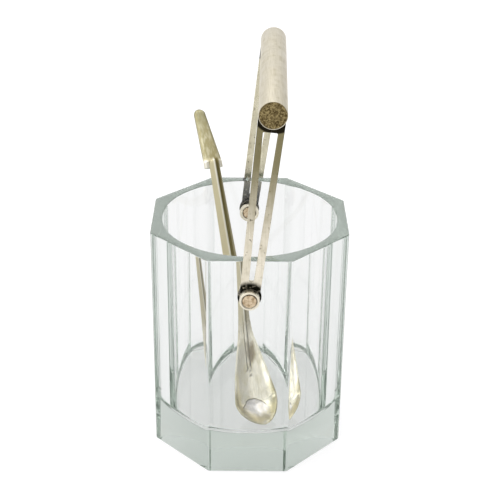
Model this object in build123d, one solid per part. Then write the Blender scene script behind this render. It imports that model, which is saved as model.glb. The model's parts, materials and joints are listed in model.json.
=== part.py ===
"""Octagonal glass ice bucket with a swinging silver-plated bail and its long ice spoon.

Millimetres, +Z up. The origin is the centre of the glass base. The bail's pivot axis runs along Y,
so -Y is the front wall, +Y is the rear wall and the bail swings towards +X or -X.
"""
from build123d import *
import math
import os

# Glass vessel: a regular octagon outside, a round bore inside
across_flats = 120.0
vessel_height = 150.5
bore_radius = 54.0
base_thickness = 25.0
bore_floor_radius = 6.0
glass_edge_bevel = 0.5
foot_edge_bevel = 0.8
flat_count = 8

# Pivot stack, measured outwards and inwards from the glass wall
pivot_height = 128.4
shank_radius = 2.5
bearing_clearance = 0.06
seat_clearance = 0.05
side_play = 0.2
sleeve_radius = 3.5
outer_washer_radius = 6.2
outer_washer_thickness = 0.8
head_radius = 5.9
head_length = 5.2
head_rim_width = 1.1
head_groove_width = 0.5
head_groove_depth = 0.5
head_edge_bevel = 0.35
inner_washer_radius = 6.0
inner_washer_thickness = 0.9
nut_radius = 6.3
nut_length = 2.2
nut_cover_thickness = 0.9

# Bail: a tube grip across two slotted strap legs, a little twisted by years of use
bail_tilt = 6.45
leg_twist = 0.65
leg_length = 114.7
leg_thickness = 2.0
eye_radius = 7.0
neck_half_width = 5.95
grip_radius = 8.0
strap_top_half_width = 7.7
grip_length = 138.4
grip_wall = 0.9
cap_thickness = 1.5
cap_recess = 0.25
solder_gap = 0.02
slot_top_width = 8.2
slot_bottom_width = 2.9
slot_bottom_height = 9.8
slot_top_drop = 12.2

# Spoon: laid out along its straight stem, with the bowl tipped up and the handle's end turned back
spoon_origin = (7.05, -27.39, 12.7)
spoon_heading = 20.6
spoon_lean = 29.95
spoon_length = 213.8
bowl_knee = 62.0
bowl_bend = 20.3
bowl_axis_height = 15.0
bowl_wall = 1.1
bowl_stations = ((7.0, 13.0), (18.0, 19.3), (34.0, 16.8), (48.0, 13.0), (62.0, 8.4))
stem_back_share = 0.6
stem_edge = 0.6
# Each section: station, half width, back, side and ridge heights
buried_section = (48.0, 5.6, -4.4, -3.6, -3.4)
knee_section = (62.0, 8.4, -2.3, -0.1, 1.2)
stem_sections = ((76.0, 6.3, -1.9, 0.1, 1.7), (95.0, 5.1, -1.5, 0.2, 1.8), (120.0, 4.4, -1.3, 0.2, 1.8))
tongue_section = (36.0, 0.9, -6.6, -6.2, -5.3)
stem_end = 176.5
stem_end_half_width = 3.4
stem_end_section = (176.5, 3.4, -1.3, 0.2, 1.7)
handle_knee = 171.0
handle_bend = 18.0
paddle_start = 171.0
paddle_half_thickness = 1.7
paddle_shoulder_half_width = 6.3
paddle_tip_half_width = 3.75
paddle_side_set = 0.5
paddle_bevel_length = 3.6
paddle_bevel_depth = 1.5
paddle_edge_bevel = 0.8

margin = 10.0
wall_face = across_flats / 2
leg_inner_face = wall_face + outer_washer_thickness + side_play
leg_outer_face = leg_inner_face + leg_thickness
head_inner_face = leg_outer_face + side_play
head_outer_face = head_inner_face + head_length
nut_outer_face = bore_radius - inner_washer_thickness
nut_inner_face = nut_outer_face - nut_length
shank_end = nut_inner_face + nut_cover_thickness


def disc(radius, near, far, x=0.0, z=pivot_height):
    """A round solid along Y between the planes y = -near and y = -far."""
    length = abs(far - near)
    middle = -(near + far) / 2
    return Pos(x, middle, z) * Rot(90, 0, 0) * Cylinder(radius, length)


def ring(outer_radius, inner_radius, near, far, x=0.0, z=pivot_height):
    """A washer-like solid along Y between the planes y = -near and y = -far."""
    return disc(outer_radius, near, far, x, z) - disc(inner_radius, near - margin, far + margin, x, z)


def bevel_face_edges(solid, axis, faces, length):
    """Chamfer the outline of the first or last face along an axis."""
    return chamfer(solid.faces().sort_by(axis)[faces].edges(), length)


def bore():
    """The round hollow of the vessel with its rounded floor corner."""
    depth = vessel_height - base_thickness + margin
    hollow = Pos(0, 0, base_thickness + depth / 2) * Cylinder(bore_radius, depth)
    return fillet(hollow.faces().sort_by(Axis.Z)[0].edges(), bore_floor_radius)


def glass_vessel():
    """Thick glass octagon with ground edges, a round bore and two pivot holes."""
    outline = RegularPolygon(wall_face, flat_count, major_radius=False, rotation=180 / flat_count)
    body = extrude(outline, vessel_height)
    body = chamfer(body.edges().filter_by(Axis.Z), glass_edge_bevel)
    body = bevel_face_edges(body, Axis.Z, -1, glass_edge_bevel)
    body = bevel_face_edges(body, Axis.Z, 0, foot_edge_bevel)
    body -= bore()
    body -= disc(sleeve_radius + seat_clearance, wall_face + margin, -wall_face - margin)
    return body


def pivot_screw():
    """Shouldered screw whose round head shows a rim around a grooved centre."""
    head = disc(head_radius, head_inner_face, head_outer_face)
    head = bevel_face_edges(head, Axis.Y, 0, head_edge_bevel)
    groove_outer = head_radius - head_rim_width
    groove_inner = groove_outer - head_groove_width
    head -= ring(groove_outer, groove_inner, head_outer_face - head_groove_depth, head_outer_face)
    return head + disc(shank_radius, shank_end, head_inner_face)


def outer_washer():
    """Fibre washer between the strap leg and the glass."""
    return ring(outer_washer_radius, shank_radius + seat_clearance, wall_face, wall_face + outer_washer_thickness)


def glass_sleeve():
    """Soft sleeve that lines the hole in the glass wall."""
    sleeve = ring(sleeve_radius, shank_radius + seat_clearance, bore_radius - margin / 2, wall_face)
    return sleeve - bore()


def inner_washer():
    """Fibre washer inside the vessel, curved on one side to seat on the bore."""
    washer = ring(inner_washer_radius, shank_radius + seat_clearance, nut_outer_face, bore_radius)
    return washer & bore()


def cap_nut():
    """Round blind nut that closes the screw inside the vessel."""
    nut = disc(nut_radius, nut_inner_face, nut_outer_face)
    nut = bevel_face_edges(nut, Axis.Y, -1, head_edge_bevel)
    return nut - disc(shank_radius, shank_end, nut_outer_face + margin)


def strap_outline():
    """The outer outline of a leg: a taper from the grip down to a narrow neck, and a round eye."""
    neck = (neck_half_width, 0)
    shoulder = (strap_top_half_width, leg_length)
    left_shoulder = (-strap_top_half_width, leg_length)
    left_neck = (-neck_half_width, 0)
    taper = make_face(Polyline(neck, shoulder, left_shoulder, left_neck, close=True))
    return taper + Circle(eye_radius)


def strap_slot():
    """The long slot of a leg, wide at the grip and narrow at the eye."""
    top_z = leg_length - slot_top_drop
    bottom_radius = slot_bottom_width / 2
    bottom_z = slot_bottom_height + bottom_radius
    half_top = slot_top_width / 2
    sides = Polyline((-bottom_radius, bottom_z), (-half_top, top_z), (half_top, top_z), (bottom_radius, bottom_z))
    end = ThreePointArc((bottom_radius, bottom_z), (0, slot_bottom_height), (-bottom_radius, bottom_z))
    return make_face(sides + end)


def strap_leg():
    """One flat slotted strap, upright over the pivot at x = 0, z = 0."""
    eye_bore = Circle(shank_radius + bearing_clearance)
    flat = strap_outline() - strap_slot() - eye_bore
    return Pos(0, -leg_inner_face, 0) * extrude(Plane.XZ * flat, leg_thickness)


def grip_bed():
    """The round space that the grip takes out of the top of each leg."""
    return disc(grip_radius + solder_gap, -grip_length / 2, grip_length / 2, 0, leg_length)


def grip_tube():
    """The tube of the grip, upright over the pivot."""
    half = grip_length / 2
    return ring(grip_radius, grip_radius - grip_wall, -half, half, 0, leg_length)


def grip_cap():
    """The disc that closes the front end of the grip tube, set in a little."""
    outer_face = grip_length / 2 - cap_recess
    return disc(grip_radius - grip_wall, outer_face - cap_thickness, outer_face, 0, leg_length)


def on_bail(solid, twist=0.0):
    """Stand a bail piece on the pivot axis and lean it to its place at rest."""
    return Pos(0, 0, pivot_height) * Rot(0, bail_tilt + twist, 0) * solid


def on_grip(solid):
    """Place a grip piece across the tops of the two twisted legs."""
    leg_middle = (leg_inner_face + leg_outer_face) / 2
    swing = math.degrees(math.atan(leg_length * math.sin(math.radians(leg_twist)) / leg_middle))
    return on_bail(Rot(0, 0, -swing) * solid)


def rear_of(solid):
    """The same piece turned half a turn about the vessel's axis."""
    return Rot(0, 0, 180) * solid


def bowl_depth(half_width):
    """How deep the bowl's round underside is where its edge is this wide."""
    return math.hypot(half_width, bowl_axis_height) - bowl_axis_height


def bowl_form(inset):
    """Round form of the bowl under its edge plane, inset by a wall thickness."""
    start = (inset, inset)
    line = [start] + [(station, inset - bowl_depth(width)) for station, width in bowl_stations]
    neck = line[-1]
    underside = Spline(line, tangents=[(0, -1), (1, 0)])
    lid = Polyline(neck, (neck[0], bowl_axis_height), (inset, bowl_axis_height), start)
    profile = make_face(underside + lid)
    turned = revolve(Plane.XZ * profile, Axis((0, 0, bowl_axis_height), (1, 0, 0)))
    below = Pos(neck[0] / 2, 0, -margin) * Box(2 * neck[0], 4 * margin, 2 * margin)
    return turned & below


def bent(solid, knee, bend):
    """Turn a piece of the spoon down past a knee in its length."""
    return Pos(knee, 0, 0) * Rot(0, bend, 0) * Pos(-knee, 0, 0) * solid


def roof_section(station, half_width, back, side, ridge):
    """A section of the stem: flat behind, thin at its edges and ridged in front."""
    back_half = stem_back_share * half_width
    corners = [(-back_half, back), (back_half, back), (half_width, side - stem_edge), (half_width, side)]
    corners += [(0, ridge), (-half_width, side), (-half_width, side - stem_edge)]
    return Plane(origin=(station, 0, 0), x_dir=(0, 1, 0), z_dir=(1, 0, 0)) * make_face(Polyline(*corners, close=True))


def spoon_blade():
    """Bowl and ridged stem in one piece, with the stem's tongue running into the bowl."""
    knee = bent(roof_section(*knee_section), bowl_knee, bowl_bend / 2)
    sections = [bent(roof_section(*buried_section), bowl_knee, bowl_bend), knee]
    sections += [roof_section(*numbers) for numbers in stem_sections + (stem_end_section,)]
    stem = loft(sections, ruled=True)
    end_centre = Pos(stem_end - stem_end_half_width, 0, 0)
    end_block = end_centre * Pos(margin / 2, 0, 0) * Box(margin, margin, margin)
    stem -= end_block - end_centre * Cylinder(stem_end_half_width, 2 * margin)
    tongue = loft([bent(roof_section(*tongue_section), bowl_knee, bowl_bend), knee], ruled=True)
    bowl = bent(bowl_form(0.0) - bowl_form(bowl_wall), bowl_knee, bowl_bend)
    bowl_space = bent(bowl_form(0.0), bowl_knee, bowl_bend)
    return bowl + stem + (tongue & bowl_space)


def spoon_paddle(blade):
    """Flat tapered handle end, bevelled at its shoulder and pocketed for the stem's end."""
    tip_centre = spoon_length - paddle_tip_half_width
    sides = Polyline(
        (tip_centre, -paddle_tip_half_width),
        (paddle_start, -paddle_shoulder_half_width),
        (paddle_start, paddle_shoulder_half_width),
        (tip_centre, paddle_tip_half_width),
    )
    end = ThreePointArc((tip_centre, paddle_tip_half_width), (spoon_length, 0), (tip_centre, -paddle_tip_half_width))
    paddle = extrude(make_face(sides + end), paddle_half_thickness, both=True)
    top_edges = paddle.faces().sort_by(Axis.Z)[-1].edges().sort_by(Axis.X)
    paddle = chamfer(top_edges[1:], paddle_edge_bevel)
    shoulder = paddle.faces().sort_by(Axis.Z)[-1].edges().sort_by(Axis.X)[0]
    paddle = chamfer(shoulder, paddle_bevel_depth, paddle_bevel_length)
    return bent(Pos(0, paddle_side_set, 0) * paddle, handle_knee, handle_bend) - blade


def leaning(solid):
    """Stand the spoon in the vessel: tip on the floor, stem against the rim."""
    heading = math.radians(spoon_heading)
    lean = math.radians(spoon_lean)
    along = Vector(-math.sin(heading) * math.sin(lean), math.cos(heading) * math.sin(lean), math.cos(lean))
    upward = Vector(0, 0, 1) - along * math.cos(lean)
    return Plane(origin=spoon_origin, x_dir=along, z_dir=upward) * solid


def write(solids):
    """Write one STEP file for each named sub-part."""
    os.makedirs("parts", exist_ok=True)
    for name, solid in solids.items():
        solid.label = name
        export_step(solid, f"parts/{name}.step")


def main():
    pieces = {"glass_vessel": glass_vessel()}
    for name, make in (
        ("pivot_screw", pivot_screw),
        ("outer_washer", outer_washer),
        ("glass_sleeve", glass_sleeve),
        ("inner_washer", inner_washer),
        ("cap_nut", cap_nut),
    ):
        pieces["front_" + name] = make()
        pieces["rear_" + name] = rear_of(make())
    pieces["front_strap_leg"] = on_bail(strap_leg(), -leg_twist) - on_grip(grip_bed())
    pieces["rear_strap_leg"] = on_bail(rear_of(strap_leg()), leg_twist) - on_grip(grip_bed())
    pieces["grip_tube"] = on_grip(grip_tube())
    pieces["front_grip_cap"] = on_grip(grip_cap())
    pieces["rear_grip_cap"] = on_grip(rear_of(grip_cap()))
    blade = spoon_blade()
    pieces["spoon_blade"] = leaning(blade)
    pieces["spoon_paddle"] = leaning(spoon_paddle(blade))
    write(pieces)


main()
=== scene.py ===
"""Looks of the octagonal glass ice bucket, its silver-plated bail and its long ice spoon.

Metres, +Z up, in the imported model's own frame: -Y is the front wall and the bail's pivot axis runs along Y.
"""
import json
import math

import bmesh
import bpy
from mathutils import Matrix, Vector


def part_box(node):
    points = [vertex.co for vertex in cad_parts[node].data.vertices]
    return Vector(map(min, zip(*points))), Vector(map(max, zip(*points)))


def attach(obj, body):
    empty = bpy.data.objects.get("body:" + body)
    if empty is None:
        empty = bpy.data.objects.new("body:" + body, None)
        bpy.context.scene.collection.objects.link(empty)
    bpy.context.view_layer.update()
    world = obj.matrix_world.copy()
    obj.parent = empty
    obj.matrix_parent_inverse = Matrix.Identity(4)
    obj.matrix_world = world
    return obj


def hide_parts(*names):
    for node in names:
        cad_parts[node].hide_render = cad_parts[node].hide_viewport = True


MM = 0.001

# Camera, as an orbit about a point on the vessel's axis
CAMERA_AZIMUTH = math.radians(-0.38)
CAMERA_ELEVATION = math.radians(27.15)
CAMERA_ROLL = math.radians(0.68)
CAMERA_DISTANCE = 0.7328
CAMERA_TARGET = Vector((0.0004, 0.0, 0.1269))
CAMERA_LENS = 83.94
CAMERA_SENSOR = 36.0

# Stage: strengths for what the camera sees directly and for everything else
FLOOR_HALF = 6.0
FLOOR_DROP = 0.2 * MM
FLOOR_COLOR = (0.26, 0.26, 0.265, 1.0)
FLOOR_GLOW = (0.80, 0.62)
ROOM_BRIGHT_WAY = (-0.8, 0.25, 0.75)
ROOM_RANGE = (("From Min", -0.8), ("From Max", 0.35), ("To Min", 0.40), ("To Max", 0.92))
WHITE = (1.0, 1.0, 1.0, 1.0)
SOFTBOXES = (
    ("top_light", (-0.3, 0.3, 1.6), (0.0, 0.0, 0.1), 1.8, 12.0),
    ("left_light", (-1.3, -0.6, 0.8), (0.0, 0.0, 0.12), 0.9, 5.0),
)

# Glass
FLAT_COUNT = 8
BASE_THICKNESS = 25.0 * MM
BORE_FLOOR_RADIUS = 6.0 * MM
FOOT_BEVEL = 0.8 * MM
RIM_BEVEL = 0.5 * MM
EDGE_ROUND = 1.0 * MM
BORE_SEGMENTS = 256
FILLET_STEPS = 12
GLASS_INDEX = 1.58
GLASS_DEPTH_COLOR = (0.856, 0.882, 0.862, 1.0)
GLASS_DEPTH_DENSITY = 29.0
LIGHT_BOUNCES = 48

# Pivots
SEAT_CLEARANCE = 0.05 * MM
BEARING_CLEARANCE = 0.06 * MM
SIDE_PLAY = 0.2 * MM
HEAD_RIM = 1.1 * MM
HEAD_GROOVE = 0.5 * MM
HEAD_GROOVE_DEPTH = 0.5 * MM
HEAD_GROOVE_MIDDLE = 4.3 * MM
HEAD_MIDDLE_SINK = 0.08 * MM
NUT_RIM = 1.3 * MM
NUT_SINK = 0.35 * MM
NUT_SLOPE = 0.3 * MM
HEAD_ROUND = 0.3 * MM
WASHER_ROUND = 0.15 * MM
INNER_WASHER_HOLLOW = 0.3 * MM

# Bail
BAIL_TILT = math.radians(6.45)
LEG_TWIST = math.radians(0.65)
LEG_LENGTH = 114.7 * MM
EYE_RADIUS = 7.0 * MM
NECK_HALF_WIDTH = 5.95 * MM
STRAP_TOP_WIDTH = 7.7 * MM
EYE_BORE = 2.56 * MM
GRIP_WALL = 0.9 * MM
GRIP_LIP = 0.4 * MM
GRIP_LIP_ROUND = 0.18 * MM
GRIP_HALF_LENGTH = 69.2 * MM
CAP_RECESS = 0.25 * MM
CAP_THICKNESS = 1.5 * MM
CAP_EDGE_ROUND = 0.2 * MM
CAP_EDGE_RUN = 0.25 * MM
CAP_DOME = 0.1 * MM
SLOT_TOP_WIDTH = 8.2 * MM
SLOT_BOTTOM_WIDTH = 2.9 * MM
SLOT_BOTTOM_HEIGHT = 9.8 * MM
SLOT_TOP_DROP = 12.2 * MM
SLOT_CORNER = 0.8 * MM
SOLDER_GAP = 0.02 * MM
SADDLE_HALF_ANGLE = math.radians(70)
STRAP_EDGE = 0.25 * MM
# Black patches round each pivot, from this distance out to each strap's reach
DARK_PATCH_START = 8.0 * MM
FRONT_DARK_PATCH_REACH = 11.5 * MM
REAR_DARK_PATCH_REACH = 38 * MM
# Painted shadow: a black band on each strap just under the grip, out to this distance from the grip's axis
UNDER_GRIP_SHADOW_REACH = 12.2 * MM
UNDER_GRIP_SHADOW_FADE = 1.0 * MM
# Painted shade: the front strap darkens towards its top, from this share of the leg's length to full at the
# next
DARK_TOP_SHADE_START = 0.2
DARK_TOP_SHADE_FULL = 0.78
PIT_RARITY = 0.69
STRAP_PIT_RARITY = 0.61

# Spoon, laid out along its straight stem, with the bowl tipped up and the handle's end turned back
SPOON_ORIGIN = Vector((7.05, -27.39, 12.7)) * MM
SPOON_HEADING = math.radians(20.6)
SPOON_LEAN = math.radians(29.95)
SPOON_LENGTH = 213.8 * MM
BOWL_KNEE = 62.0 * MM
BOWL_BEND = math.radians(20.3)
BEND_REACH = 9.0 * MM
BOWL_AXIS_HEIGHT = 15.0 * MM
BOWL_WALL = 1.1 * MM
BOWL_WIDEST = 18.0
BLADE_OUTLINE = (
    (18.0, 19.3), (34.0, 16.8), (48.0, 13.0), (62.0, 8.4),
    (76.0, 6.3), (95.0, 5.1), (120.0, 4.4), (177.0, 3.4),
)
TONGUE_START = 34.0 * MM
TONGUE_HALF_WIDTH = 2.6 * MM
TONGUE_HEIGHT = 1.7 * MM
STEM_BACK = -1.3 * MM
STEM_SIDE = 0.2 * MM
STEM_RIDGE = 1.7 * MM
STEM_END = 176.5 * MM
STEM_END_WIDTH = 3.4 * MM
HANDLE_BEND = math.radians(18.0)
PADDLE_START = 171.0 * MM
PADDLE_HALF_THICKNESS = 1.7 * MM
PADDLE_SHOULDER_WIDTH = 6.3 * MM
PADDLE_TIP_WIDTH = 3.75 * MM
PADDLE_SIDE_SET = 0.5 * MM
PADDLE_BEVEL_LENGTH = 3.6 * MM
PADDLE_BEVEL_DEPTH = 1.5 * MM

# Stains on the spoon, and where its painted shade and painted highlight lie: (along, across) centres and
# reaches, measured like its outline
NECK_STAIN = ((50 * MM, -3 * MM), (9 * MM, 6 * MM))
RIDGE_END_STAIN = ((38 * MM, 0.0), (5 * MM, 4 * MM))
POOL_STAIN = ((12.5 * MM, 3 * MM), (7.5 * MM, 13 * MM))
BOWL_LIP = ((27 * MM, 0.0), (20.5 * MM, 19 * MM))
# Painted shade: dark lines this far to each side of the ridge
RIDGE_SHADE_LINE_OFFSET = 1.9 * MM
# Painted highlight: the bright band on the shoulder is centred here
SHOULDER_HIGHLIGHT_MIDDLE = 171 * MM

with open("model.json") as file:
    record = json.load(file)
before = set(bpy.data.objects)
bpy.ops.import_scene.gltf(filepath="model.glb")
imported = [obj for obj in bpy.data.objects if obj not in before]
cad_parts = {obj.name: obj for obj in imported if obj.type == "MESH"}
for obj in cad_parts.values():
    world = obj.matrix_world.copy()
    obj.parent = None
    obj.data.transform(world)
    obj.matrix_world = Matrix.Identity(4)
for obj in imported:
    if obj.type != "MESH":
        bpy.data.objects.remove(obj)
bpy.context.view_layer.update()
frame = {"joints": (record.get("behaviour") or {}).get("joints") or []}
hinge = next(joint for joint in frame["joints"] if joint["name"] == "bail_hinge")
PIVOT = Vector(hinge["pos_m"])


# ---------------------------------------------------------------- mesh helpers

def finish_mesh(name, mesh, body, replaced, material, sharp_angle=35.0):
    """Smooth a mesh, put it in the scene and fasten it to its body."""
    mesh.shade_smooth()
    mesh.set_sharp_from_angle(angle=math.radians(sharp_angle))
    piece = bpy.data.objects.new(name, mesh)
    bpy.context.scene.collection.objects.link(piece)
    piece.data.materials.append(material)
    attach(piece, body)
    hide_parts(*replaced)
    return piece


def build(name, points, faces):
    """A mesh whose faces all point outwards."""
    mesh = bpy.data.meshes.new(name)
    mesh.from_pydata([tuple(point) for point in points], [], faces)
    work = bmesh.new()
    work.from_mesh(mesh)
    bmesh.ops.recalc_face_normals(work, faces=work.faces)
    work.to_mesh(mesh)
    work.free()
    return mesh


def soften(profile, radius, steps=3):
    """Round each corner of a closed outline with a short curve."""
    rounded = []
    count = len(profile)
    for index, corner in enumerate(profile):
        before = Vector(profile[index - 1])
        here = Vector(corner)
        after = Vector(profile[(index + 1) % count])
        reach = min(radius, (before - here).length / 2.2, (after - here).length / 2.2)
        start = here + (before - here).normalized() * reach
        end = here + (after - here).normalized() * reach
        for step in range(steps + 1):
            share = step / steps
            rounded.append(start.lerp(here, share).lerp(here.lerp(end, share), share))
    return rounded


def lathe(name, profile, segments=96):
    """Turn a closed outline of (y, radius) points about the Y axis; a point at radius 0 closes it."""
    on_axis = 1e-9
    points = []
    rows = []
    for y, radius in profile:
        if radius < on_axis:
            points.append((0.0, y, 0.0))
            rows.append([len(points) - 1] * segments)
            continue
        row = []
        for segment in range(segments):
            turn = 2 * math.pi * segment / segments
            points.append((radius * math.cos(turn), y, radius * math.sin(turn)))
            row.append(len(points) - 1)
        rows.append(row)
    faces = []
    for index, row in enumerate(rows):
        following = rows[(index + 1) % len(rows)]
        for segment in range(segments):
            after = (segment + 1) % segments
            corners = [row[segment], row[after], following[after], following[segment]]
            face = list(dict.fromkeys(corners))
            if len(face) > 2:
                faces.append(face)
    return build(name, points, faces)


def loft(name, rings):
    """Skin equal closed rings of points and cap both ends."""
    points = [point for ring in rings for point in ring]
    size = len(rings[0])
    faces = [list(range(size)), list(range(len(points) - size, len(points)))]
    for row in range(len(rings) - 1):
        for column in range(size):
            here = row * size + column
            beside = row * size + (column + 1) % size
            faces.append([here, beside, beside + size, here + size])
    return build(name, points, faces)


def smooth_step(low, high, value):
    """0 below low, 1 above high, and an even S-shaped rise between them."""
    share = min(1.0, max(0.0, (value - low) / (high - low)))
    return share * share * (3 - 2 * share)


def curve_through(stations, value):
    """A smooth curve through (station, width) pairs, level at its widest one."""
    for index in range(len(stations) - 1):
        (x0, y0), (x1, y1) = stations[index], stations[index + 1]
        if value <= x1 or index == len(stations) - 2:
            break
    span = x1 - x0
    slopes = []
    for at in (index, index + 1):
        if at in (0, len(stations) - 1):
            slopes.append((y1 - y0) / span)
            continue
        before, after = stations[at - 1], stations[at + 1]
        slopes.append((after[1] - before[1]) / (after[0] - before[0]))
    t = min(1.0, max(0.0, (value - x0) / span))
    return (
        (2 * t**3 - 3 * t**2 + 1) * y0
        + (t**3 - 2 * t**2 + t) * span * slopes[0]
        + (3 * t**2 - 2 * t**3) * y1
        + (t**3 - t**2) * span * slopes[1]
    )


# ---------------------------------------------------------------- material helpers

class Graph:
    """A material's node tree with short calls for the nodes used here."""

    def __init__(self, name):
        self.material = bpy.data.materials.new(name)
        self.material.use_nodes = True
        self.nodes = self.material.node_tree.nodes
        self.links = self.material.node_tree.links
        self.shader = self.nodes["Principled BSDF"]
        self.output = self.nodes["Material Output"]
        self.place = self.nodes.new("ShaderNodeTexCoord").outputs["Object"]

    def join(self, source, socket):
        self.links.new(source, socket)

    def put(self, socket, value):
        """Link a node's output, or set a plain value."""
        if hasattr(value, "is_linked"):
            self.join(value, socket)
        else:
            socket.default_value = value

    def noise(self, scale, detail=3.0, stretch=(1, 1, 1), offset=(0, 0, 0), roughness=0.5):
        mapping = self.nodes.new("ShaderNodeMapping")
        mapping.inputs["Scale"].default_value = stretch
        mapping.inputs["Location"].default_value = offset
        self.join(self.place, mapping.inputs["Vector"])
        texture = self.nodes.new("ShaderNodeTexNoise")
        texture.inputs["Scale"].default_value = scale
        texture.inputs["Detail"].default_value = detail
        texture.inputs["Roughness"].default_value = roughness
        self.join(mapping.outputs["Vector"], texture.inputs["Vector"])
        return texture.outputs["Fac"]

    def spread(self, value, low, high, to_low=0.0, to_high=1.0):
        node = self.nodes.new("ShaderNodeMapRange")
        node.interpolation_type = "SMOOTHSTEP"
        for name, number in (("From Min", low), ("From Max", high), ("To Min", to_low), ("To Max", to_high)):
            node.inputs[name].default_value = number
        self.join(value, node.inputs["Value"])
        return node.outputs["Result"]

    def math(self, operation, first, second=0.0):
        node = self.nodes.new("ShaderNodeMath")
        node.operation = operation
        self.put(node.inputs[0], first)
        self.put(node.inputs[1], second)
        return node.outputs["Value"]

    def blend(self, share, first, second):
        node = self.nodes.new("ShaderNodeMix")
        node.data_type = "RGBA"
        self.put(node.inputs["Factor"], share)
        self.put(node.inputs["A"], first)
        self.put(node.inputs["B"], second)
        return node.outputs["Result"]

    def axes(self):
        node = self.nodes.new("ShaderNodeSeparateXYZ")
        self.join(self.place, node.inputs["Vector"])
        return node.outputs["X"], node.outputs["Y"], node.outputs["Z"]

    def in_frame(self, place):
        """Coordinates in a piece's own leaning axes."""
        back = place.inverted()
        node = self.nodes.new("ShaderNodeMapping")
        node.inputs["Location"].default_value = back.translation
        node.inputs["Rotation"].default_value = back.to_euler()
        self.join(self.place, node.inputs["Vector"])
        return node.outputs["Vector"]

    def distance_from(self, centre):
        """Distance from a line through a point, along Y."""
        x, _, z = self.axes()
        run = self.math("SUBTRACT", x, centre.x)
        rise = self.math("SUBTRACT", z, centre.z)
        squares = self.math("ADD", self.math("MULTIPLY", run, run), self.math("MULTIPLY", rise, rise))
        return self.math("SQRT", squares)

    def oval(self, centre, reach):
        """How far out on an oval on the X and Y axes: 0 at its centre and 1 on its line."""
        x, y, _ = self.axes()
        run = self.math("DIVIDE", self.math("SUBTRACT", x, centre[0]), reach[0])
        rise = self.math("DIVIDE", self.math("SUBTRACT", y, centre[1]), reach[1])
        squares = self.math("ADD", self.math("MULTIPLY", run, run), self.math("MULTIPLY", rise, rise))
        return self.math("SQRT", squares)

    def spot(self, centre, reach):
        """A soft oval patch: 1 at its centre and 0 past its line."""
        return self.spread(self.oval(centre, reach), 0.6, 1.1, 1.0, 0.0)

    def near(self, value, centre, core, reach):
        """A soft line where a value passes its centre: 1 inside the core and 0 past the reach."""
        off = self.math("ABSOLUTE", self.math("SUBTRACT", value, centre))
        return self.spread(off, core, reach, 1.0, 0.0)

    def bump(self, height, strength, distance):
        node = self.nodes.new("ShaderNodeBump")
        node.inputs["Strength"].default_value = strength
        node.inputs["Distance"].default_value = distance
        self.join(height, node.inputs["Height"])
        self.join(node.outputs["Normal"], self.shader.inputs["Normal"])


def color(red, green, blue):
    """A linear colour from sRGB values of 0 to 255."""
    linear = []
    for value in (red, green, blue):
        share = value / 255
        linear.append(share / 12.92 if share <= 0.04045 else ((share + 0.055) / 1.055) ** 2.4)
    return (*linear, 1.0)


# ---------------------------------------------------------------- materials

def glass_material():
    """Clear crystal with a faint green-grey depth."""
    graph = Graph("crystal")
    graph.shader.inputs["Base Color"].default_value = WHITE
    graph.shader.inputs["Transmission Weight"].default_value = 1.0
    graph.shader.inputs["Roughness"].default_value = 0.0
    graph.shader.inputs["IOR"].default_value = GLASS_INDEX
    depth = graph.nodes.new("ShaderNodeVolumeAbsorption")
    depth.inputs["Color"].default_value = GLASS_DEPTH_COLOR
    depth.inputs["Density"].default_value = GLASS_DEPTH_DENSITY
    graph.join(depth.outputs["Volume"], graph.output.inputs["Volume"])
    return graph.material


def silver_material(name, along, clean, stain, wear, gloss, eye=0.0, top=0.0):
    """Worn silver plate: fine lengthwise scratches, cloudy tarnish and dark pits.

    A strap leg also has an eye, with black patches that reach this far round its pivot, a painted shadow just
    under the grip, and, by top, painted shade that darkens it towards its top.
    """
    graph = Graph(name)
    stretch = [1.0, 1.0, 1.0]
    stretch["XYZ".index(along)] = 0.03
    scratches = graph.noise(2200.0, 2.0, stretch)
    streaks = graph.noise(420.0, 3.0, stretch, offset=(0.4, 0.2, 0.6))
    clouds = graph.noise(110.0, 5.0, roughness=0.65)
    pits = graph.noise(560.0, 4.0, offset=(0.3, 0.1, 0.7), roughness=0.7)
    broken = graph.spread(streaks, 0.35, 0.62, 0.35, 1.0)
    film = graph.math("MULTIPLY", graph.spread(clouds, 0.40, 0.72), broken)
    rarity = STRAP_PIT_RARITY if eye else PIT_RARITY
    spots = graph.spread(pits, rarity, rarity + 0.06, 0.0, 0.85)
    shade = graph.blend(graph.math("MULTIPLY", film, wear), clean, stain)
    shade = graph.blend(graph.spread(scratches, 0.35, 0.75, 0.0, 0.25), shade, stain)
    shade = graph.blend(spots, shade, color(52, 46, 30))
    # Painted shade: the strap's colour darkens towards its top, standing in for a darker reflection there
    if top:
        _, _, z = graph.axes()
        start = PIVOT.z + DARK_TOP_SHADE_START * LEG_LENGTH
        full = PIVOT.z + DARK_TOP_SHADE_FULL * LEG_LENGTH
        rise = graph.spread(z, start, full, 0.0, top)
        shade = graph.blend(rise, shade, color(124, 116, 78))
    if eye:
        # Black patches round the pivot, broken by the pit noise
        near = graph.spread(graph.distance_from(PIVOT), DARK_PATCH_START, eye, 1.0, 0.0)
        patchy = graph.math("MULTIPLY", near, graph.spread(pits, 0.30, 0.46, 0.45, 1.0))
        # Painted shadow: a black band on the strap just under the grip
        from_grip = graph.distance_from(grip_place().translation)
        under_grip_shadow = graph.spread(from_grip, UNDER_GRIP_SHADOW_REACH, UNDER_GRIP_SHADOW_REACH + UNDER_GRIP_SHADOW_FADE, 0.97, 0.0)
        shade = graph.blend(patchy, shade, color(16, 16, 10))
        shade = graph.blend(under_grip_shadow, shade, color(22, 19, 13))
    graph.join(shade, graph.shader.inputs["Base Color"])
    graph.shader.inputs["Metallic"].default_value = 1.0
    dull = graph.math("MULTIPLY", spots, 0.3)
    rough = graph.math("ADD", graph.spread(clouds, 0.3, 0.7, gloss, gloss + 0.14), dull)
    graph.join(rough, graph.shader.inputs["Roughness"])
    height = graph.math("SUBTRACT", graph.math("MULTIPLY", scratches, 0.5), spots)
    graph.bump(height, 0.25, 0.04 * MM)
    return graph.material


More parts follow.
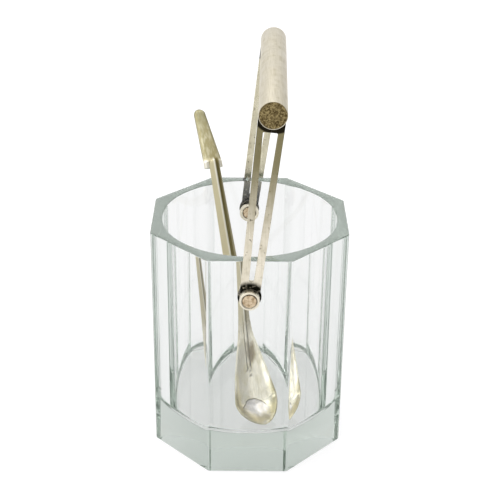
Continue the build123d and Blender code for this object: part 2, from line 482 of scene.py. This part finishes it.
def head_material():
    """A turned head: a bright ring round a groove darkened with painted shade, and a worn, speckled brassy
    middle.
    """
    graph = Graph("head_silver")
    radius = graph.distance_from(PIVOT)
    mottle = graph.noise(480.0, 4.0, roughness=0.7)
    middle = graph.blend(graph.spread(mottle, 0.42, 0.62), color(222, 202, 172), color(170, 146, 114))
    middle = graph.blend(graph.spread(mottle, 0.66, 0.72), middle, color(70, 54, 34))
    on_ring = graph.spread(radius, HEAD_GROOVE_MIDDLE, HEAD_GROOVE_MIDDLE + 0.2 * MM)
    shade = graph.blend(on_ring, middle, color(242, 234, 214))
    # Painted shade: the groove is darkened, broken by the mottle
    groove_shade = graph.near(radius, HEAD_GROOVE_MIDDLE, 0.12 * MM, 0.34 * MM)
    groove_shade = graph.math("MULTIPLY", groove_shade, graph.spread(mottle, 0.3, 0.5, 0.55, 1.0))
    shade = graph.blend(groove_shade, shade, color(46, 36, 22))
    graph.join(shade, graph.shader.inputs["Base Color"])
    graph.shader.inputs["Metallic"].default_value = 1.0
    graph.join(graph.spread(mottle, 0.3, 0.7, 0.22, 0.42), graph.shader.inputs["Roughness"])
    graph.bump(graph.math("MULTIPLY", mottle, 0.6), 0.2, 0.04 * MM)
    return graph.material


def stem_shade(graph, streaks, bright, tan):
    """Painted light on the stem: a painted highlight on the ridge, painted shade on the tan left slope and
    deeper painted shade on the olive right slope.
    """
    _, across, _ = graph.axes()
    # Painted highlight along the ridge; painted shade on both slopes, deeper on the right one
    painted_slope_shade = graph.spread(graph.math("ABSOLUTE", across), 0.35 * MM, 0.9 * MM)
    right = graph.spread(across, -0.7 * MM, -0.2 * MM, 1.0, 0.0)
    right = graph.math("MULTIPLY", right, graph.spread(across, -3.4 * MM, -2.4 * MM, 0.35, 1.0))
    stem = graph.blend(graph.math("MULTIPLY", painted_slope_shade, 0.8), bright, tan)
    stem = graph.blend(graph.math("MULTIPLY", right, painted_slope_shade), stem, color(122, 112, 70))
    return handle_shade(graph, streaks, stem)


def handle_shade(graph, streaks, stem):
    """The handle end over the stem: streaked, darker at the tip, with a painted highlight on its shoulder."""
    along, across, _ = graph.axes()
    on_handle = graph.spread(along, PADDLE_START + 5 * MM, PADDLE_START + 7 * MM)
    handle = graph.blend(graph.spread(streaks, 0.34, 0.66), color(194, 188, 158), color(152, 144, 108))
    handle = graph.blend(graph.spread(along, 190 * MM, 212 * MM, 0.0, 0.6), handle, color(132, 128, 96))
    shade = graph.blend(on_handle, stem, handle)
    # Painted highlight: a near-white band across the shoulder beside the stem
    beside = graph.spread(graph.math("ABSOLUTE", across), STEM_END_WIDTH, STEM_END_WIDTH + 0.4 * MM)
    shoulder_highlight = graph.math("MULTIPLY", beside, graph.near(along, SHOULDER_HIGHLIGHT_MIDDLE, 4 * MM, 6 * MM))
    return graph.blend(shoulder_highlight, shade, color(248, 244, 230))


def bowl_shade(graph, clouds, pits, bright):
    """The bowl: stained at its neck, lines of painted shade beside the ridge, a grey pool and an olive lip.
    """
    along, across, _ = graph.axes()
    bowl = graph.blend(graph.spread(clouds, 0.44, 0.70, 0.0, 0.6), bright, color(206, 198, 158))
    neck = graph.math("MULTIPLY", graph.spot(*NECK_STAIN), graph.spread(clouds, 0.35, 0.6, 0.3, 0.9))
    bowl = graph.blend(neck, bowl, color(128, 112, 84))
    # Painted shade: dark lines along both sides of the ridge
    ridge_shade_lines = graph.near(graph.math("ABSOLUTE", across), RIDGE_SHADE_LINE_OFFSET, 0.35 * MM, 0.75 * MM)
    ridge_shade_lines = graph.math("MULTIPLY", ridge_shade_lines, graph.spread(along, 36 * MM, 41 * MM, 0.0, 0.85))
    bowl = graph.blend(ridge_shade_lines, bowl, color(84, 78, 50))
    ridge_end = graph.math("MULTIPLY", graph.spot(*RIDGE_END_STAIN), graph.spread(pits, 0.47, 0.62))
    bowl = graph.blend(ridge_end, bowl, color(84, 76, 46))
    wander = graph.noise(90.0, 2.0, offset=(0.1, 0.6, 0.2))
    pool = graph.math("ADD", graph.oval(*POOL_STAIN), graph.math("MULTIPLY", wander, 0.7))
    bowl = graph.blend(graph.spread(pool, 1.25, 1.35, 0.8, 0.0), bowl, color(198, 196, 198))
    upper = graph.spread(along, 13 * MM, 16 * MM, 0.0, 0.95)
    shore = graph.math("MULTIPLY", graph.near(pool, 1.3, 0.02, 0.06), upper)
    bowl = graph.blend(shore, bowl, color(92, 86, 54))
    lip = graph.spread(graph.oval(*BOWL_LIP), 0.78, 0.95, 0.0, 0.75)
    lip = graph.math("MULTIPLY", lip, graph.spread(along, 24 * MM, 36 * MM, 1.0, 0.15))
    lip = graph.math("MULTIPLY", lip, graph.spread(clouds, 0.3, 0.6, 0.5, 1.0))
    return graph.blend(lip, bowl, color(134, 126, 78))


def spoon_material():
    """Polished silver with olive tarnish, a painted highlight along the ridge and painted shade beside it,
    stained in the bowl.
    """
    graph = Graph("spoon_silver")
    graph.place = graph.in_frame(spoon_place())
    along, _, _ = graph.axes()
    streaks = graph.noise(700.0, 3.0, (0.05, 1.0, 1.0))
    clouds = graph.noise(120.0, 5.0, offset=(0.2, 0.9, 0.4), roughness=0.62)
    pits = graph.noise(480.0, 4.0, offset=(0.7, 0.1, 0.3), roughness=0.7)
    bright = color(238, 234, 218)
    tan = color(196, 186, 146)
    on_stem = graph.spread(along, 58 * MM, 80 * MM)
    stem = stem_shade(graph, streaks, bright, tan)
    shade = graph.blend(on_stem, bowl_shade(graph, clouds, pits, bright), stem)
    shade = graph.blend(graph.spread(streaks, 0.42, 0.72, 0.0, 0.3), shade, tan)
    spots = graph.spread(pits, 0.68, 0.74, 0.0, 0.85)
    shade = graph.blend(spots, shade, color(54, 46, 24))
    graph.join(shade, graph.shader.inputs["Base Color"])
    graph.shader.inputs["Metallic"].default_value = 1.0
    stem_rough = graph.math("MULTIPLY", on_stem, 0.14)
    rough = graph.math("ADD", graph.spread(clouds, 0.3, 0.7, 0.15, 0.27), stem_rough)
    rough = graph.math("ADD", rough, graph.math("MULTIPLY", spots, 0.3))
    graph.join(rough, graph.shader.inputs["Roughness"])
    graph.bump(graph.math("SUBTRACT", graph.math("MULTIPLY", streaks, 0.6), spots), 0.3, 0.05 * MM)
    return graph.material


def tarnish_material():
    """Mottled brown tarnish on the discs that close the grip."""
    graph = Graph("tarnished_disc")
    blotches = graph.noise(800.0, 5.0, roughness=0.8)
    grain = graph.noise(1500.0, 3.0, offset=(0.2, 0.5, 0.1))
    shade = graph.blend(graph.spread(blotches, 0.40, 0.62), color(84, 68, 36), color(172, 154, 108))
    shade = graph.blend(graph.spread(grain, 0.52, 0.7, 0.0, 0.8), shade, color(58, 46, 24))
    graph.join(shade, graph.shader.inputs["Base Color"])
    graph.shader.inputs["Metallic"].default_value = 0.85
    graph.join(graph.spread(blotches, 0.3, 0.7, 0.62, 0.42), graph.shader.inputs["Roughness"])
    graph.bump(graph.math("ADD", blotches, grain), 0.5, 0.12 * MM)
    return graph.material


def plain_fibre(name, light, dark, rough):
    """Matte fibre or nylon with a fine fleck."""
    graph = Graph(name)
    fleck = graph.noise(900.0, 4.0)
    graph.join(graph.blend(fleck, light, dark), graph.shader.inputs["Base Color"])
    graph.join(graph.spread(fleck, 0.3, 0.7, rough, rough + 0.15), graph.shader.inputs["Roughness"])
    graph.bump(fleck, 0.2, 0.05 * MM)
    return graph.material


# ---------------------------------------------------------------- glass vessel

def octagon(inset, z, apothem, corner_round):
    """A ring round the octagon, its corners rounded, at one height."""
    corner_distance = (apothem - inset) / math.cos(math.pi / FLAT_COUNT)
    corners = []
    for flat in range(FLAT_COUNT):
        turn = math.pi * (2 * flat + 1) / FLAT_COUNT
        corners.append((corner_distance * math.cos(turn), corner_distance * math.sin(turn)))
    return [(x, y, z) for x, y in soften(corners, corner_round, 4)]


def circle(radius, z):
    """A ring of the bore at one height."""
    ring = []
    for segment in range(BORE_SEGMENTS):
        turn = 2 * math.pi * segment / BORE_SEGMENTS
        ring.append((radius * math.cos(turn), radius * math.sin(turn), z))
    return ring


def glass_rings(low, high, bore_radius):
    """Rings up the octagon's outside, and rings down the bore and round its floor."""
    outside = [
        octagon(FOOT_BEVEL, low.z, high.x, EDGE_ROUND),
        octagon(0.0, low.z + FOOT_BEVEL, high.x, EDGE_ROUND),
        octagon(0.0, high.z - RIM_BEVEL, high.x, EDGE_ROUND),
        octagon(RIM_BEVEL, high.z, high.x, EDGE_ROUND),
    ]
    inside = [circle(bore_radius + RIM_BEVEL, high.z), circle(bore_radius, high.z - RIM_BEVEL)]
    for step in range(FILLET_STEPS + 1):
        turn = math.pi / 2 * step / FILLET_STEPS
        radius = bore_radius - BORE_FLOOR_RADIUS * (1 - math.cos(turn))
        inside.append(circle(radius, BASE_THICKNESS + BORE_FLOOR_RADIUS * (1 - math.sin(turn))))
    return outside, inside


def glass_mesh(outside, inside):
    """The closed skin through the rings, with a flat rim between octagon and bore."""
    work = bmesh.new()
    loops = [[work.verts.new(point) for point in ring] for ring in outside + inside]
    for below, above in zip(loops, loops[1:]):
        if len(below) != len(above):
            continue
        for index in range(len(below)):
            after = (index + 1) % len(below)
            work.faces.new((below[index], below[after], above[after], above[index]))
    work.faces.new(loops[0])
    work.faces.new(loops[-1])
    rim_edges = []
    for loop in (loops[len(outside) - 1], loops[len(outside)]):
        for index, vertex in enumerate(loop):
            rim_edges.append(work.edges.get((vertex, loop[(index + 1) % len(loop)])))
    bmesh.ops.bridge_loops(work, edges=rim_edges)
    bmesh.ops.recalc_face_normals(work, faces=work.faces)
    mesh = bpy.data.meshes.new("glass_body")
    work.to_mesh(mesh)
    work.free()
    return mesh


def drilled(mesh, reach, hole_radius):
    """The same mesh with one straight hole along Y through both walls at the pivots."""
    drill = bpy.data.objects.new("drill", lathe("drill", [
        (-reach, 0.0), (-reach, hole_radius), (reach, hole_radius), (reach, 0.0),
    ], 48))
    drill.location = (0.0, 0.0, PIVOT.z)
    blank = bpy.data.objects.new("glass_blank", mesh)
    for piece in (drill, blank):
        bpy.context.scene.collection.objects.link(piece)
    cut = blank.modifiers.new("holes", "BOOLEAN")
    cut.operation = "DIFFERENCE"
    cut.solver = "EXACT"
    cut.object = drill
    bpy.context.view_layer.update()
    result = bpy.data.meshes.new_from_object(blank.evaluated_get(bpy.context.evaluated_depsgraph_get()))
    result.name = "glass_body"
    result.materials.clear()
    for piece in (blank, drill):
        bpy.data.objects.remove(piece)
    return result


def glass_piece(material):
    """The thick octagon with its bore, ground edges and two pivot holes."""
    low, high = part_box("glass_vessel")
    bore_radius = -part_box("front_inner_washer")[0].y
    hole_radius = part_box("front_glass_sleeve")[1].x + SEAT_CLEARANCE
    mesh = glass_mesh(*glass_rings(low, high, bore_radius))
    mesh = drilled(mesh, 2 * high.x, hole_radius)
    piece = finish_mesh("glass_body", mesh, "bucket", ["glass_vessel"], material, 50.0)
    even = piece.modifiers.new("even_normals", "WEIGHTED_NORMAL")
    even.keep_sharp = True


# ---------------------------------------------------------------- pivots

def at_pivot(mesh, side):
    """Move a front pivot mesh up to the axis, and to the rear wall if asked."""
    turn = Matrix.Rotation(math.pi, 4, "Z") if side == "rear" else Matrix.Identity(4)
    mesh.transform(turn @ Matrix.Translation((0.0, 0.0, PIVOT.z)))
    return mesh


def screw_profile(outer_face, head_seat, shank_end, head_radius, shank_radius):
    """Outline of the screw: raised rim, groove and flat centre on a round head."""
    groove_outer = head_radius - HEAD_RIM
    groove_inner = groove_outer - HEAD_GROOVE
    floor = outer_face + HEAD_GROOVE_DEPTH
    middle = outer_face + HEAD_MIDDLE_SINK
    return [
        (shank_end, 0.0),
        (shank_end, shank_radius),
        (head_seat, shank_radius),
        (head_seat, head_radius),
        (outer_face, head_radius),
        (outer_face, groove_outer),
        (floor, groove_outer),
        (floor, groove_inner),
        (middle, groove_inner - 0.15 * MM),
        (middle, 0.0),
    ]


def on_axis_softened(profile, radius):
    """Round an outline's corners but keep its two points on the axis."""
    return [profile[0]] + [tuple(p) for p in soften(profile, radius)[4:-4]] + [profile[-1]]


def tube_outline(near, far, inner_radius, outer_radius):
    """Outline of a plain ring about the Y axis."""
    return [(near, inner_radius), (near, outer_radius), (far, outer_radius), (far, inner_radius)]


def nut_profile(seat, face, radius):
    """Outline of the cap nut: a bright rim round a slightly sunk centre."""
    return [
        (seat, 0.0),
        (seat, radius),
        (face, radius),
        (face, radius - NUT_RIM),
        (face - NUT_SINK, radius - NUT_RIM - NUT_SLOPE),
        (face - NUT_SINK, 0.0),
    ]


def pivot_pieces(side, silver, fibre, nylon):
    """Screw, washers, sleeve and cap nut of one side."""
    washer_low, washer_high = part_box("front_outer_washer")
    screw_low, screw_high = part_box("front_pivot_screw")
    leg_low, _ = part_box("front_strap_leg")
    sleeve_low, sleeve_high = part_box("front_glass_sleeve")
    inner_low, inner_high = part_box("front_inner_washer")
    nut_low, nut_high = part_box("front_cap_nut")
    shank = EYE_BORE - BEARING_CLEARANCE
    bore = shank + SEAT_CLEARANCE
    screw = screw_profile(screw_low.y, leg_low.y - SIDE_PLAY, screw_high.y, screw_high.x, shank)
    outer = tube_outline(washer_low.y, washer_high.y, bore, washer_high.x)
    sleeve = tube_outline(sleeve_low.y, sleeve_high.y, bore, sleeve_high.x)
    inner = tube_outline(inner_low.y + INNER_WASHER_HOLLOW, inner_high.y, bore, inner_high.x)
    nut = nut_profile(nut_low.y, nut_high.y, nut_high.x)
    for part, outline, material, slot in (
        ("pivot_screw", on_axis_softened(screw, HEAD_ROUND), silver, "silver_plate"),
        ("outer_washer", soften(outer, WASHER_ROUND), fibre, "washer_fibre"),
        ("glass_sleeve", sleeve, nylon, "sleeve_nylon"),
        ("inner_washer", soften(inner, WASHER_ROUND), fibre, "washer_fibre"),
        ("cap_nut", on_axis_softened(nut, HEAD_ROUND), silver, "silver_plate"),
    ):
        name = f"{side}_{part}"
        mesh = at_pivot(lathe(part, outline), side)
        finish_mesh(name + "_body", mesh, "bucket", [name], material)


# ---------------------------------------------------------------- bail

def arc(centre, radius, start, end, steps):
    """Points round part of a circle, angles measured from +X."""
    points = []
    for step in range(steps + 1):
        turn = start + (end - start) * step / steps
        points.append((centre[0] + radius * math.cos(turn), centre[1] + radius * math.sin(turn)))
    return points


def strap_rings(grip_radius):
    """Outline, slot and eye hole of a strap leg, with the pivot at 0, 0 and the grip above."""
    down = -math.pi / 2
    seat = grip_radius + SOLDER_GAP
    horn_height = LEG_LENGTH - grip_radius * math.cos(SADDLE_HALF_ANGLE)
    saddle = arc((0, LEG_LENGTH), seat, down + SADDLE_HALF_ANGLE, down - SADDLE_HALF_ANGLE, 32)
    neck_turn = math.acos(NECK_HALF_WIDTH / EYE_RADIUS)
    outline = arc((0, 0), EYE_RADIUS, math.pi - neck_turn, 2 * math.pi + neck_turn, 60)
    outline.append((STRAP_TOP_WIDTH, horn_height))
    outline += saddle
    outline.append((-STRAP_TOP_WIDTH, horn_height))
    end_radius = SLOT_BOTTOM_WIDTH / 2
    end_height = SLOT_BOTTOM_HEIGHT + end_radius
    half_top = SLOT_TOP_WIDTH / 2
    top = LEG_LENGTH - SLOT_TOP_DROP
    corner = SLOT_CORNER
    slot = arc((0, end_height), end_radius, math.pi, 2 * math.pi, 20)
    slot += arc((half_top - corner, top - corner), corner, 0, math.pi / 2, 5)
    slot += arc((corner - half_top, top - corner), corner, math.pi / 2, math.pi, 5)
    return outline, slot, arc((0, 0), EYE_BORE, 0, 2 * math.pi * 47 / 48, 47)


def strap_mesh(side, twist, grip_radius):
    """One slotted strap with softened edges, leaning at its place at rest."""
    low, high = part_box("front_strap_leg")
    thickness = high.y - low.y
    flat = bpy.data.curves.new("strap", "CURVE")
    flat.dimensions = "2D"
    flat.fill_mode = "BOTH"
    flat.extrude = thickness / 2 - STRAP_EDGE
    flat.bevel_depth = STRAP_EDGE
    flat.bevel_resolution = 2
    flat.offset = -STRAP_EDGE
    for ring in strap_rings(grip_radius):
        line = flat.splines.new("POLY")
        line.points.add(len(ring) - 1)
        for point, (x, z) in zip(line.points, ring):
            point.co = (x, z, 0.0, 1.0)
        line.use_cyclic_u = True
    holder = bpy.data.objects.new("strap", flat)
    mesh = bpy.data.meshes.new_from_object(holder)
    bpy.data.objects.remove(holder)
    work = bmesh.new()
    work.from_mesh(mesh)
    bmesh.ops.remove_doubles(work, verts=work.verts, dist=0.005 * MM)
    bmesh.ops.recalc_face_normals(work, faces=work.faces)
    work.to_mesh(mesh)
    work.free()
    stand = Matrix.Rotation(math.pi / 2, 4, "X")
    middle = (low.y + high.y) / 2 * (1 if side == "front" else -1)
    lean = Matrix.Rotation(BAIL_TILT + twist, 4, "Y")
    mesh.transform(Matrix.Translation(PIVOT) @ lean @ Matrix.Translation((0.0, middle, 0.0)) @ stand)
    return mesh


def grip_place():
    """Where the grip's own axis lies across the tops of the two twisted legs."""
    low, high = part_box("front_strap_leg")
    reach = -(low.y + high.y) / 2
    swing = math.atan(LEG_LENGTH * math.sin(LEG_TWIST) / reach)
    lean = Matrix.Rotation(BAIL_TILT, 4, "Y")
    up = Matrix.Translation((0.0, 0.0, LEG_LENGTH))
    return Matrix.Translation(PIVOT) @ lean @ up @ Matrix.Rotation(-swing, 4, "Z")


def grip_size():
    """Radius of the grip, from the height of the disc inside its wall."""
    low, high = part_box("front_grip_cap")
    return GRIP_WALL + (high.z - low.z) / 2


def bail_pieces(strap, rear_strap, silver, tarnish):
    """Both legs, the grip tube and its two caps."""
    grip_radius = grip_size()
    for side, twist, finish in (("front", -LEG_TWIST, strap), ("rear", LEG_TWIST, rear_strap)):
        mesh = strap_mesh(side, twist, grip_radius)
        finish_mesh(f"{side}_strap_body", mesh, "bail", [f"{side}_strap_leg"], finish)
    inside = grip_radius - GRIP_LIP
    outline = tube_outline(-GRIP_HALF_LENGTH, GRIP_HALF_LENGTH, inside, grip_radius)
    tube = lathe("grip_tube_body", soften(outline, GRIP_LIP_ROUND))
    tube.transform(grip_place())
    finish_mesh("grip_tube_body", tube, "bail", ["grip_tube"], silver)
    face = CAP_RECESS - GRIP_HALF_LENGTH
    for side, turn in (("front", 0.0), ("rear", math.pi)):
        cap = lathe("cap", [
            (face + CAP_THICKNESS, 0.0),
            (face + CAP_THICKNESS, inside),
            (face + CAP_EDGE_ROUND, inside),
            (face, inside - CAP_EDGE_RUN),
            (face - CAP_DOME, 0.0),
        ])
        cap.transform(grip_place() @ Matrix.Rotation(turn, 4, "Z"))
        finish_mesh(f"{side}_cap_body", cap, "bail", [f"{side}_grip_cap"], tarnish)


# ---------------------------------------------------------------- spoon

def blade_half_width(station):
    """Half width of the bowl or stem at a distance from the tip."""
    widest = BLADE_OUTLINE[0][1] * MM
    short_of = 1 - station / (BOWL_WIDEST * MM)
    if short_of > 0:
        return widest * (1 - short_of**1.8) ** 0.625
    outline = [(x * MM, y * MM) for x, y in BLADE_OUTLINE]
    return curve_through(outline, station)


def bowl_surface(half_width, y, wall):
    """Height of the bowl's round surface below its edge plane, raised by a wall."""
    reach = math.hypot(half_width, BOWL_AXIS_HEIGHT) - wall
    return min(0.0, BOWL_AXIS_HEIGHT - math.sqrt(max(reach * reach - y * y, 0.0)))


def blade_heights(station, half_width, y):
    """Front and back height of the blade at one point of its width."""
    to_stem = smooth_step(44 * MM, 72 * MM, station)
    edge = abs(y) / half_width
    roof = STEM_RIDGE - (STEM_RIDGE - STEM_SIDE) * edge
    front = bowl_surface(half_width, y, BOWL_WALL) * (1 - to_stem) + roof * to_stem
    rise = TONGUE_HEIGHT * smooth_step(TONGUE_START, 58 * MM, station) * (1 - to_stem)
    front += rise * max(0.0, 1 - (y / TONGUE_HALF_WIDTH) ** 2)
    rounded_back = STEM_BACK * math.sqrt(max(0.0, 1 - edge**4))
    back = bowl_surface(half_width, y, 0.0) * (1 - to_stem) + rounded_back * to_stem
    return front, min(back, front - 0.25 * MM)


def blade_spine():
    """The bent centre line: (station, x, z, slope) from the tip to the straight stem."""
    step = 0.25 * MM
    station = BOWL_KNEE + BEND_REACH
    place = [station, 0.0]
    spine = [(station, place[0], place[1], 0.0)]
    while station > 0:
        station -= step
        slope = BOWL_BEND * (1 - smooth_step(BOWL_KNEE - BEND_REACH, BOWL_KNEE + BEND_REACH, station))
        place[0] -= step * math.cos(slope)
        place[1] += step * math.sin(slope)
        spine.append((station, place[0], place[1], slope))
    return spine[::-1]


def on_spine(spine, station, y, height):
    """A point at a height over the bent centre line."""
    if station >= spine[-1][0]:
        return (station, y, height)
    share = (station - spine[0][0]) / (spine[-1][0] - spine[0][0])
    index = min(len(spine) - 1, max(0, round(share * (len(spine) - 1))))
    _, x, z, slope = spine[index]
    ahead = station - spine[index][0]
    x += ahead * math.cos(slope) + height * math.sin(slope)
    z += -ahead * math.sin(slope) + height * math.cos(slope)
    return (x, y, z)


def cross_row(half_width, count):
    """Places across the width, closer together near the ridge and the edges."""
    places = []
    for index in range(count + 1):
        share = -1 + 2 * index / count
        places.append(half_width * math.sin(share * math.pi / 2))
    return places


def blade_mesh():
    """Bowl and ridged stem as one closed skin."""
    across = 44
    spine = blade_spine()
    stations = [0.02 * MM, 0.12 * MM, 0.4 * MM, 0.8 * MM, 1.4 * MM, 2.2 * MM, 3.2 * MM, 4.4 * MM]
    stations += [(5.5 + index) * MM for index in range(80)]
    stations += [(85.5 + 4 * index) * MM for index in range(1, 22)]
    stations += [STEM_END - drop * MM for drop in (3.4, 3.1, 2.6, 1.9, 1.2, 0.6, 0.2, 0.0)]
    rings = []
    for station in stations:
        half_width = blade_half_width(station)
        into_end = station - (STEM_END - STEM_END_WIDTH)
        if into_end > 0:
            half_width *= math.sqrt(max(0.004, 1 - (into_end / STEM_END_WIDTH) ** 2))
        front_row, back_row = [], []
        for y in cross_row(half_width, across):
            front, back = blade_heights(station, half_width, y)
            front_row.append(on_spine(spine, station, y, front))
            back_row.append(on_spine(spine, station, y, back))
        rings.append(front_row + back_row[::-1])
    return loft("spoon_blade_body", rings)


def paddle_mesh():
    """The handle end: bevelled shoulder, soft long edges, faint lengthwise facets, rounded tip."""
    across = 24
    tip_centre = SPOON_LENGTH - PADDLE_TIP_WIDTH
    stations = [PADDLE_START, PADDLE_START + 0.3 * MM]
    stations += [PADDLE_START + PADDLE_BEVEL_LENGTH * share for share in (0.25, 0.5, 0.75, 0.92, 1.0, 1.1)]
    span = tip_centre - stations[-1]
    stations += [stations[-1] + span * (index + 1) / 24 for index in range(24)]
    turns = [math.pi / 2 * (step + 1) / 10 for step in range(10)]
    stations += [tip_centre + PADDLE_TIP_WIDTH * math.sin(turn) for turn in turns]
    rings = []
    for station in stations:
        share = min(1.0, (station - PADDLE_START) / (tip_centre - PADDLE_START))
        half_width = PADDLE_SHOULDER_WIDTH + (PADDLE_TIP_WIDTH - PADDLE_SHOULDER_WIDTH) * share
        beyond = max(0.0, station - tip_centre) / PADDLE_TIP_WIDTH
        half_width *= math.sqrt(max(0.003, 1 - beyond * beyond))
        bevel = max(0.0, 1 - (station - PADDLE_START) / PADDLE_BEVEL_LENGTH)
        thin = 1 - 0.75 * beyond**3
        front_row, back_row = [], []
        for y in cross_row(half_width, across):
            edge = abs(y) / half_width
            crown = PADDLE_HALF_THICKNESS * (1 - 0.16 * edge**2 - 0.42 * smooth_step(0.72, 1.0, edge))
            front_row.append((station, y, crown * thin - PADDLE_BEVEL_DEPTH * bevel))
            belly = PADDLE_HALF_THICKNESS * (1 - 0.35 * smooth_step(0.8, 1.0, edge))
            back_row.append((station, y, -belly * thin))
        rings.append(front_row + back_row[::-1])
    mesh = loft("spoon_paddle_body", rings)
    knee = Matrix.Translation((PADDLE_START, 0.0, 0.0))
    aside = Matrix.Translation((0.0, PADDLE_SIDE_SET, 0.0))
    mesh.transform(knee @ Matrix.Rotation(HANDLE_BEND, 4, "Y") @ knee.inverted() @ aside)
    return mesh


def spoon_place():
    """The leaning spoon's own axes: along its stem, across and up."""
    along = Vector((
        -math.sin(SPOON_HEADING) * math.sin(SPOON_LEAN),
        math.cos(SPOON_HEADING) * math.sin(SPOON_LEAN),
        math.cos(SPOON_LEAN),
    ))
    upward = (Vector((0, 0, 1)) - along * math.cos(SPOON_LEAN)).normalized()
    across = upward.cross(along)
    turn = Matrix((along, across, upward)).transposed().to_4x4()
    return Matrix.Translation(SPOON_ORIGIN) @ turn


def spoon_pieces(silver):
    """Blade and handle end, leaning in the vessel."""
    for name, mesh in (("spoon_blade", blade_mesh()), ("spoon_paddle", paddle_mesh())):
        mesh.transform(spoon_place())
        finish_mesh(name + "_body", mesh, "spoon", [name], silver, 28.0)


# ---------------------------------------------------------------- stage

def add_camera():
    """The camera on its orbit, turned a little about its own axis."""
    back = Vector((
        math.sin(CAMERA_AZIMUTH) * math.cos(CAMERA_ELEVATION),
        -math.cos(CAMERA_AZIMUTH) * math.cos(CAMERA_ELEVATION),
        math.sin(CAMERA_ELEVATION),
    ))
    right = Vector((0, 0, 1)).cross(back).normalized()
    turn = Matrix((right, back.cross(right), back)).transposed().to_4x4()
    data = bpy.data.cameras.new("camera")
    data.lens = CAMERA_LENS
    data.sensor_width = CAMERA_SENSOR
    camera = bpy.data.objects.new("camera", data)
    place = Matrix.Translation(CAMERA_TARGET + back * CAMERA_DISTANCE)
    camera.matrix_world = place @ turn @ Matrix.Rotation(CAMERA_ROLL, 4, "Z")
    bpy.context.scene.collection.objects.link(camera)
    bpy.context.scene.camera = camera


def camera_pick(nodes, links, seen, unseen):
    """One strength for what the camera sees directly, and another for reflections and light."""
    ray = nodes.new("ShaderNodeLightPath")
    pick = nodes.new("ShaderNodeMix")
    pick.data_type = "FLOAT"
    links.new(ray.outputs["Is Camera Ray"], pick.inputs["Factor"])
    for socket, value in (("A", unseen), ("B", seen)):
        if hasattr(value, "is_linked"):
            links.new(value, pick.inputs[socket])
        else:
            pick.inputs[socket].default_value = value
    return pick.outputs["Result"]


def add_floor():
    """A wide pale floor just under the glass."""
    half = FLOOR_HALF
    corners = [(x, y, -FLOOR_DROP) for x, y in ((-half, -half), (half, -half), (half, half), (-half, half))]
    mesh = build("floor", corners, [[0, 1, 2, 3]])
    floor = bpy.data.objects.new("floor", mesh)
    bpy.context.scene.collection.objects.link(floor)
    material = bpy.data.materials.new("floor_white")
    material.use_nodes = True
    nodes, links = material.node_tree.nodes, material.node_tree.links
    shader = nodes["Principled BSDF"]
    shader.inputs["Base Color"].default_value = FLOOR_COLOR
    shader.inputs["Roughness"].default_value = 0.9
    shader.inputs["Emission Color"].default_value = WHITE
    links.new(camera_pick(nodes, links, *FLOOR_GLOW), shader.inputs["Emission Strength"])
    mesh.materials.append(material)


def add_world():
    """Soft pale room: bright above and to the left, dimmer low and to the right."""
    world = bpy.data.worlds.new("room")
    world.use_nodes = True
    bpy.context.scene.world = world
    nodes, links = world.node_tree.nodes, world.node_tree.links
    background = nodes["Background"]
    place = nodes.new("ShaderNodeTexCoord")
    facing = nodes.new("ShaderNodeVectorMath")
    facing.operation = "DOT_PRODUCT"
    facing.inputs[1].default_value = ROOM_BRIGHT_WAY
    links.new(place.outputs["Generated"], facing.inputs[0])
    depth = nodes.new("ShaderNodeMapRange")
    depth.interpolation_type = "SMOOTHSTEP"
    for name, number in ROOM_RANGE:
        depth.inputs[name].default_value = number
    links.new(facing.outputs["Value"], depth.inputs["Value"])
    links.new(camera_pick(nodes, links, 1.0, depth.outputs["Result"]), background.inputs["Strength"])
    background.inputs["Color"].default_value = WHITE


def add_softbox(name, place, aim, size, power):
    """A square soft light that faces a point."""
    data = bpy.data.lights.new(name, "AREA")
    data.shape = "SQUARE"
    data.size = size
    data.energy = power
    light = bpy.data.objects.new(name, data)
    light.location = place
    light.rotation_euler = (Vector(aim) - Vector(place)).to_track_quat("-Z", "Y").to_euler()
    bpy.context.scene.collection.objects.link(light)


def main():
    scene = bpy.context.scene
    scene.view_settings.view_transform = "Standard"
    scene.cycles.max_bounces = LIGHT_BOUNCES
    scene.cycles.glossy_bounces = LIGHT_BOUNCES
    scene.cycles.transmission_bounces = LIGHT_BOUNCES
    add_camera()
    add_floor()
    add_world()
    for softbox in SOFTBOXES:
        add_softbox(*softbox)

    olive = color(150, 140, 98)
    front_clean = color(246, 238, 220)
    rear_clean = color(236, 230, 206)
    silver = silver_material("silver_plate", "Y", color(224, 216, 196), olive, 0.35, 0.30)
    # The front strap's last argument paints shade that darkens it towards its top
    strap = silver_material("strap_silver", "Z", front_clean, olive, 0.35, 0.24, FRONT_DARK_PATCH_REACH, 0.92)
    rear_strap = silver_material("rear_strap_silver", "Z", rear_clean, olive, 0.35, 0.24, REAR_DARK_PATCH_REACH)
    fibre = plain_fibre("washer_fibre", color(178, 170, 150), color(120, 112, 92), 0.6)
    nylon = plain_fibre("sleeve_nylon", color(226, 224, 214), color(206, 202, 190), 0.35)

    glass_piece(glass_material())
    head = head_material()
    for side in ("front", "rear"):
        pivot_pieces(side, head, fibre, nylon)
    bail_pieces(strap, rear_strap, silver, tarnish_material())
    spoon_pieces(spoon_material())


main()
